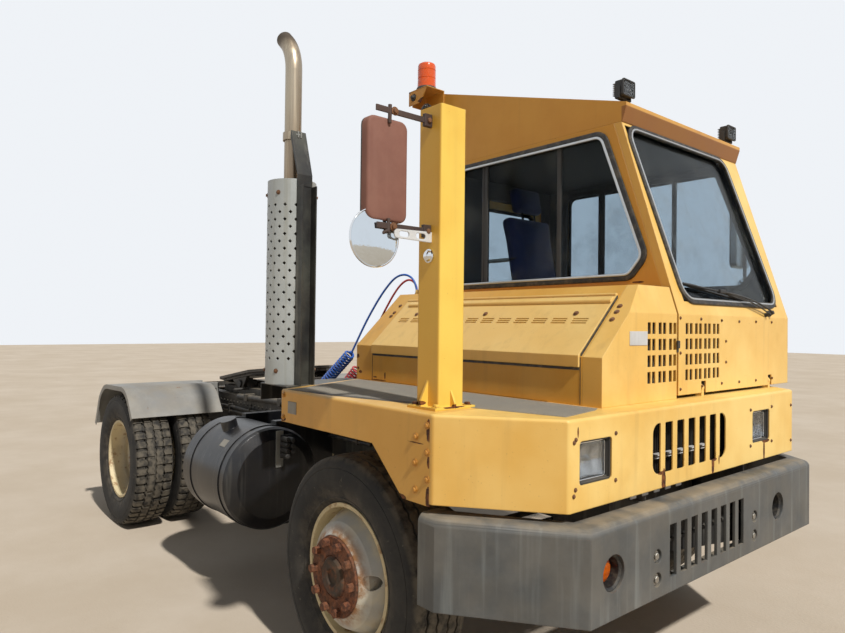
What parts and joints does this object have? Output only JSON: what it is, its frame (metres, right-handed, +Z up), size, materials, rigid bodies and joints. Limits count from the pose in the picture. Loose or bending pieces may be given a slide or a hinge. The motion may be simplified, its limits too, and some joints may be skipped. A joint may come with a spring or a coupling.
{
  "type": "terminal tractor",
  "caption": "Four-wheel yard truck with offset tilting cab, side hood, stack exhaust, mirror post, and a lifting boom that carries a fifth wheel.",
  "frame": {"origin": "on the ground, under the middle of the truck's length and width", "axes": "+X forward, +Y to the truck's left, +Z up"},
  "size_m": [5.004, 2.946, 3.2575],
  "materials": {
    "yellow_paint": "sun-faded yellow with rust at edges",
    "grey_bumper_paint": "weathered dark grey",
    "black_paint": "matt black chassis paint",
    "cream_wheel_paint": "chalky cream white with rust",
    "tyre_rubber": "worn, dusty",
    "black_rubber": "matt",
    "window_glass": "slightly green",
    "lamp_lens": "clear",
    "amber_lens": "amber",
    "silver_paint": "perforated, silver grey",
    "stained_steel": "heat tinted",
    "cast_iron_black": "dusty",
    "tan_paint": "dusty",
    "grey_fender": "faded, rust stained lower edge",
    "galvanised": "grey",
    "blue_hose": "satin",
    "red_hose": "satin",
    "seat_fabric": "dark blue-grey",
    "dark_plastic": "textured",
    "brown_plastic": "faded brown",
    "chromed_rod": "polished"
  },
  "bodies": {
    "chassis": {"frame_rails": "black_paint", "crossmembers": "black_paint", "front_bumper": "grey_bumper_paint", "front_fascia": "yellow_paint", "front_lamps": "lamp_lens", "tail_lamps": "black_paint", "right_deck": "yellow_paint", "left_deck": "yellow_paint", "hood_front": "yellow_paint", "hood_frame": "yellow_paint", "mirror_post": "yellow_paint", "right_mirrors": "brown_plastic", "exhaust_stack": "stained_steel", "exhaust_shield": "silver_paint", "stack_bracket": "black_paint", "fuel_tank": "black_paint", "tank_brackets": "galvanised", "air_tank": "tan_paint", "battery_box": "black_paint", "rear_platform": "galvanised", "rear_fenders": "grey_fender", "rear_axle": "cast_iron_black", "drive_shaft": "cast_iron_black", "front_axle": "cast_iron_black", "engine_block": "cast_iron_black", "radiator": "black_paint", "blue_air_line": "blue_hose", "blue_air_coil": "blue_hose", "red_air_line": "red_hose", "red_air_coil": "red_hose", "air_couplings": "stained_steel"},
    "cab": {"cab_floor": "yellow_paint", "cab_front": "yellow_paint", "cab_sides": "yellow_paint", "cab_rear": "yellow_paint", "cab_roof": "yellow_paint", "cab_glass": "window_glass", "seat": "seat_fabric", "dash": "dark_plastic", "roof_lamps": "dark_plastic", "beacon": "amber_lens", "left_mirror": "stained_steel"},
    "sliding_door": {"rear_door": "yellow_paint", "rear_door_glass": "window_glass"},
    "engine_lid": {"hood_lid": "yellow_paint"},
    "boom": {"lift_boom": "black_paint"},
    "coupling_plate": {"fifth_wheel": "cast_iron_black"},
    "cylinder_barrels": {"lift_barrels": "black_paint"},
    "cylinder_rods": {"lift_rods": "chromed_rod"},
    "right_steering": {"right_knuckle": "cast_iron_black"},
    "left_steering": {"left_knuckle": "cast_iron_black"},
    "track_rod": {"tie_rod": "cast_iron_black"},
    "front_right_wheel": {"front_right_tyre": "tyre_rubber", "front_right_rim": "cream_wheel_paint"},
    "front_left_wheel": {"front_left_tyre": "tyre_rubber", "front_left_rim": "cream_wheel_paint"},
    "rear_right_wheels": {"rear_right_tyres": "tyre_rubber", "rear_right_rims": "cream_wheel_paint"},
    "rear_left_wheels": {"rear_left_tyres": "tyre_rubber", "rear_left_rims": "cream_wheel_paint"}
  },
  "joints": [
    {"name": "steer_right", "type": "hinge", "parent": "chassis", "child": "right_steering", "pos_m": [1.394, -0.86, 0.505], "axis": [0, 0, 1], "range_deg": [-35, 35]},
    {"name": "steer_left", "type": "hinge", "parent": "chassis", "child": "left_steering", "pos_m": [1.394, 0.86, 0.505], "axis": [0, 0, 1], "range_deg": [-35, 35]},
    {"name": "track_rod_turn", "type": "hinge", "parent": "right_steering", "child": "track_rod", "pos_m": [1.184, -0.86, 0.466], "axis": [0, 0, 1], "range_deg": [-35, 35]},
    {"name": "front_right_spin", "type": "hinge", "parent": "right_steering", "child": "front_right_wheel", "pos_m": [1.394, -1.018, 0.505], "axis": [0, 1, 0], "continuous": true},
    {"name": "front_left_spin", "type": "hinge", "parent": "left_steering", "child": "front_left_wheel", "pos_m": [1.394, 1.018, 0.505], "axis": [0, 1, 0], "continuous": true},
    {"name": "rear_right_spin", "type": "hinge", "parent": "chassis", "child": "rear_right_wheels", "pos_m": [-1.696, -0.907, 0.505], "axis": [0, 1, 0], "continuous": true},
    {"name": "rear_left_spin", "type": "hinge", "parent": "chassis", "child": "rear_left_wheels", "pos_m": [-1.696, 0.907, 0.505], "axis": [0, 1, 0], "continuous": true},
    {"name": "cab_tilt", "type": "hinge", "parent": "chassis", "child": "cab", "pos_m": [2.276, 0.595, 1.304], "axis": [0, 1, 0], "range_deg": [0, 45]},
    {"name": "rear_door_slide", "type": "slide", "parent": "cab", "child": "sliding_door", "axis": [0, -1, 0], "range_m": [0, 0.43]},
    {"name": "hood_lid_hinge", "type": "hinge", "parent": "chassis", "child": "engine_lid", "pos_m": [1.504, -0.3244, 1.715], "axis": [-1, 0, 0], "range_deg": [0, 75]},
    {"name": "boom_lift", "type": "hinge", "parent": "chassis", "child": "boom", "pos_m": [-0.326, 0, 1.062], "axis": [0, 1, 0], "range_deg": [0, 25]},
    {"name": "coupling_tilt", "type": "hinge", "parent": "boom", "child": "coupling_plate", "pos_m": [-1.206, 0, 1.092], "axis": [0, 1, 0], "range_deg": [0, 16]},
    {"name": "cylinder_swing", "type": "hinge", "parent": "chassis", "child": "cylinder_barrels", "pos_m": [-0.556, 0, 0.705], "axis": [0, 1, 0], "range_deg": [0, 25]},
    {"name": "cylinder_stroke", "type": "slide", "parent": "cylinder_barrels", "child": "cylinder_rods", "axis": [-0.9106, 0, 0.4133], "range_m": [0, 0.19]}
  ],
  "couplings": [
    {"joint": "steer_left", "follows": "steer_right", "ratio": 1},
    {"joint": "track_rod_turn", "follows": "steer_right", "ratio": -1},
    {"joint": "cylinder_swing", "follows": "boom_lift", "ratio": 0.96627},
    {"joint": "cylinder_stroke", "follows": "boom_lift", "m_per_rad": 0.42045}
  ]
}
